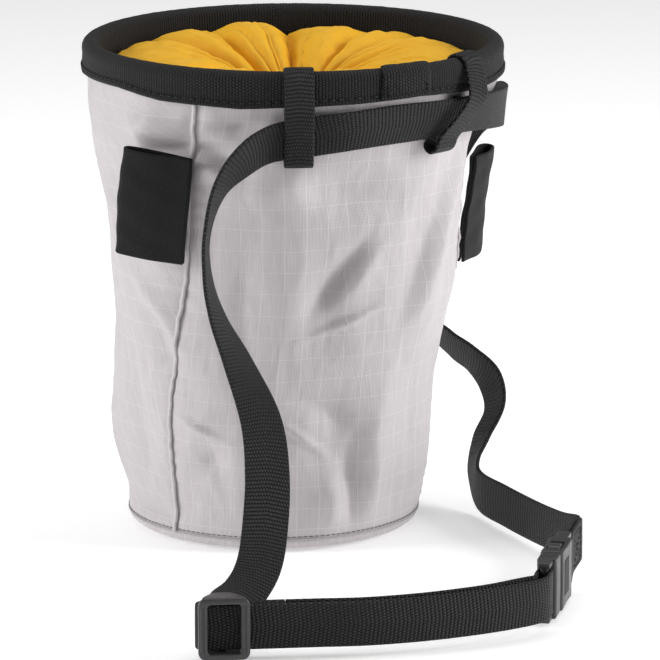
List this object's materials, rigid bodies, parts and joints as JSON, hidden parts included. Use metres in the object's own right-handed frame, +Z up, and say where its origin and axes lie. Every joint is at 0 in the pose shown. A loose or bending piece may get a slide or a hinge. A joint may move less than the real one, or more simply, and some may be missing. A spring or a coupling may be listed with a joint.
{
  "type": "climbing chalk bag",
  "caption": "Round chalk bag with a stiff bound rim, gathered drawcord collar, elastic brush loops and a webbing waist belt closed by a side-release buckle and slider.",
  "frame": {"origin": "middle of the base, on the surface that the bag stands on", "axes": "+Z up along the bag, -Y towards the side where the loose run of the belt lies, +X towards the buckle"},
  "size_m": [0.1692, 0.2597, 0.1714],
  "materials": {
    "shell_fabric": "coated ripstop nylon, dull sheen",
    "welt_thread": "dark stitched cord",
    "fleece": "short brushed pile",
    "collar_fabric": "light nylon, soft sheen",
    "cord": "braided",
    "eyelet_plastic": "satin moulded",
    "hoop_wire": "extruded rod",
    "binding_webbing": "ribbed webbing folded over the rim",
    "loop_webbing": "coarse woven webbing",
    "elastic": "flat knitted elastic",
    "belt_webbing": "woven nylon webbing",
    "buckle_plastic": "moulded acetal, satin"
  },
  "bodies": {
    "bag": {"back_panel": "shell_fabric", "front_panel": "shell_fabric", "left_side_seam": "shell_fabric", "right_side_seam": "shell_fabric", "base_panel": "shell_fabric", "base_welt": "welt_thread", "fleece_liner": "fleece", "liner_base": "fleece", "collar": "collar_fabric", "collar_hem": "collar_fabric", "drawcord": "cord", "cord_eyelet": "eyelet_plastic", "rim_hoop": "hoop_wire", "rim_binding": "binding_webbing", "binding_join": "binding_webbing", "left_belt_loop": "loop_webbing", "right_belt_loop": "loop_webbing", "left_brush_loop": "elastic", "right_brush_loop": "elastic", "belt_strap": "belt_webbing", "belt_front_run": "belt_webbing", "belt_return_run": "belt_webbing", "buckle_socket": "buckle_plastic", "socket_web_fold": "belt_webbing"},
    "plug": {"buckle_plug": "buckle_plastic", "plug_web_fold": "belt_webbing"},
    "upper_latch": {"upper_arm": "buckle_plastic"},
    "lower_latch": {"lower_arm": "buckle_plastic"},
    "slider": {"slider": "buckle_plastic", "slider_web_loop": "belt_webbing"}
  },
  "joints": [
    {"name": "buckle_release", "type": "slide", "parent": "bag", "child": "plug", "axis": [-0.2079, -0.9781, 0], "range_m": [0, 0.018], "deforming": ["belt_front_run", "belt_return_run", "upper_arm", "lower_arm"]},
    {"name": "upper_arm_squeeze", "type": "hinge", "parent": "plug", "child": "upper_latch", "pos_m": [0.09112, -0.12733, 0.0162], "axis": [-0.9781, 0.2079, 0], "range_deg": [0, 10], "stiffness_Nm_per_rad": 0.4},
    {"name": "lower_arm_squeeze", "type": "hinge", "parent": "plug", "child": "lower_latch", "pos_m": [0.09112, -0.12733, 0.0046], "axis": [0.9781, -0.2079, 0], "range_deg": [0, 10], "stiffness_Nm_per_rad": 0.4},
    {"name": "slider_adjust", "type": "slide", "parent": "bag", "child": "slider", "axis": [0.9945, 0.1045, 0], "range_m": [0, 0.03], "deforming": ["belt_return_run"]}
  ]
}
